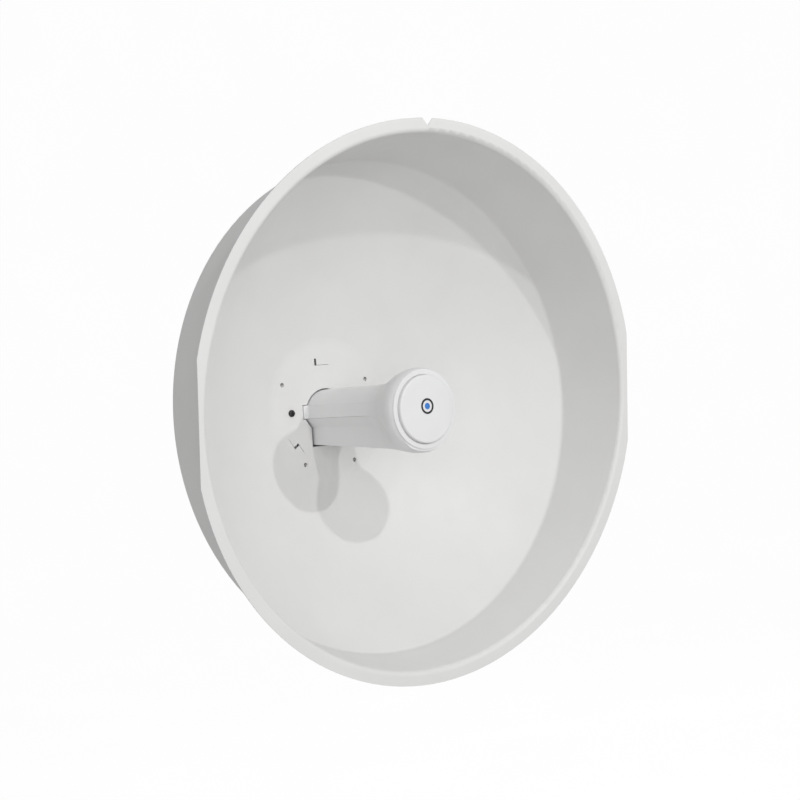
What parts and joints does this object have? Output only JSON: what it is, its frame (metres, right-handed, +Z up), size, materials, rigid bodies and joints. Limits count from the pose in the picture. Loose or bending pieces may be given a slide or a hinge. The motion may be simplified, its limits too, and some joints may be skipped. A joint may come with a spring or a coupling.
{
  "type": "outdoor wireless bridge",
  "caption": "Deep shrouded dish reflector with a radio feed tube on its axis, a rear housing, a tilting bracket and a pole clamp, for a long outdoor wireless link.",
  "frame": {"origin": "on the axis of the mast that the clamp grips, level with the tilt pivot and with the axis of the feed", "axes": "+Z up along the mast, -Y the way the dish looks, +X to the right for someone standing behind the dish and looking the way it looks"},
  "size_m": [0.5282, 0.4041, 0.538],
  "materials": {
    "painted_steel": "fine matt powder coat",
    "white_plastic": "satin moulded",
    "galvanised_steel": "zinc plated",
    "stainless_steel": "satin",
    "black_zinc": "black zinc plated",
    "brass_plated": "satin",
    "soft_rubber": "matt",
    "thermal_silicone": "matt",
    "circuit_board": "solder mask",
    "chip_black": "moulded",
    "tinned_steel": "bright",
    "gold_contact": "plated",
    "copper": "satin",
    "aluminium": "machined",
    "black_plastic": "moulded",
    "badge_dark": "printed",
    "badge_blue": "printed",
    "led_lens": "clear"
  },
  "bodies": {
    "pole_mount": {"pole_bracket": "galvanised_steel", "carriage_bolts": "galvanised_steel", "pivot_bolts": "galvanised_steel", "pivot_washers": "galvanised_steel", "pivot_nuts": "galvanised_steel"},
    "clamp": {"clamp_jaw": "galvanised_steel", "clamp_washers": "galvanised_steel", "clamp_nuts": "galvanised_steel"},
    "dish": {"dish_reflector": "painted_steel", "tilt_bracket": "galvanised_steel", "clinch_nuts": "stainless_steel", "bracket_screws": "stainless_steel", "ground_screw": "brass_plated", "ground_washer": "brass_plated", "lock_bolts": "galvanised_steel", "lock_washers": "galvanised_steel", "lock_nuts": "galvanised_steel", "rear_housing": "white_plastic", "guide_sleeve": "black_plastic", "chamber_frame": "black_plastic", "housing_gasket": "soft_rubber", "housing_screws": "black_zinc", "cable_grommet": "soft_rubber", "cover_pin": "stainless_steel", "latch_spring": "stainless_steel"},
    "latch": {"release_button": "white_plastic"},
    "cover": {"port_cover": "white_plastic", "port_seal": "soft_rubber"},
    "reset": {"reset_button": "black_plastic"},
    "feed": {"antenna_board": "circuit_board", "badge_dot": "badge_blue", "badge_ring": "badge_dark", "bezel_ring": "white_plastic", "board_chips": "chip_black", "board_screws": "stainless_steel", "coax_connectors": "gold_contact", "coax_jumpers": "black_plastic", "dipole_elements": "copper", "end_cap_screws": "stainless_steel", "ethernet_jack": "tinned_steel", "feed_choke": "aluminium", "feed_end_cap": "white_plastic", "feed_head_barrel": "white_plastic", "feed_lower_shell": "white_plastic", "feed_tail": "white_plastic", "feed_upper_shell": "white_plastic", "front_cap": "white_plastic", "head_seal": "soft_rubber", "heat_spreader": "aluminium", "jack_contacts": "gold_contact", "jack_insert": "black_plastic", "light_pipes": "led_lens", "main_board": "circuit_board", "shield_cans": "tinned_steel", "status_leds": "led_lens", "sub_reflector": "aluminium", "thermal_pad": "thermal_silicone"}
  },
  "joints": [
    {"name": "elevation_tilt", "type": "hinge", "parent": "pole_mount", "child": "dish", "pos_m": [0, -0.052, 0], "axis": [1, 0, 0], "range_deg": [-20, 20]},
    {"name": "clamp_slide", "type": "slide", "parent": "pole_mount", "child": "clamp", "axis": [0, 1, 0], "range_m": [0, 0.025]},
    {"name": "feed_slide", "type": "slide", "parent": "dish", "child": "feed", "axis": [0, -1, 0], "range_m": [0, 0.06]},
    {"name": "release_press", "type": "slide", "parent": "dish", "child": "latch", "axis": [0, 0, -1], "range_m": [0, 0.003], "stiffness_N_per_m": 900, "springref_m": -0.0005, "deforming": ["latch_spring"]},
    {"name": "port_cover_hinge", "type": "hinge", "parent": "dish", "child": "cover", "pos_m": [0, -0.0815, 0.017], "axis": [1, 0, 0], "range_deg": [0, 100]},
    {"name": "reset_press", "type": "slide", "parent": "feed", "child": "reset", "axis": [0, -1, 0], "range_m": [0, 0.0008], "stiffness_N_per_m": 400, "springref_m": -0.0003}
  ]
}
